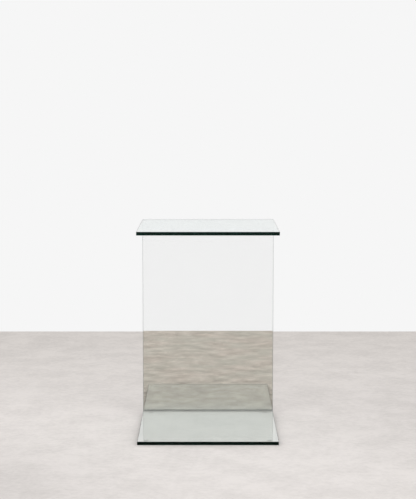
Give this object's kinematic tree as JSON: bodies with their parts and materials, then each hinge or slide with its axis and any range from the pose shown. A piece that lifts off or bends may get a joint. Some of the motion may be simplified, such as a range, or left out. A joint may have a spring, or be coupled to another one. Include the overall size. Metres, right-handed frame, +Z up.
{
  "type": "side table",
  "caption": "C-shaped side table of thick bonded glass panes: square top and base joined by a mirror upright along the back edge.",
  "frame": {"origin": "on the floor, under the middle of the table's footprint", "axes": "+Z up, +X to the table's right as seen from its open side, -Y towards the open side of the C, the mirror upright on the +Y side facing -Y"},
  "size_m": [0.4, 0.4, 0.605],
  "materials": {
    "clear_glass": "10 mm clear float glass with a faint blue-green cast, polished flat edges and ground arrises",
    "silver": "silver coat on the back of the upright's glass",
    "backing": "satin grey protective paint and safety film",
    "adhesive": "clear cured adhesive",
    "clear_bumper": "clear soft polyurethane"
  },
  "bodies": {
    "root": {"top_pane": "clear_glass", "base_pane": "clear_glass", "upright_pane": "clear_glass", "silver_coat": "silver", "backing_paint": "backing", "top_bond": "adhesive", "base_bond": "adhesive", "foot_front_left": "clear_bumper", "foot_front_right": "clear_bumper", "foot_back_left": "clear_bumper", "foot_back_right": "clear_bumper"}
  },
  "joints": []
}
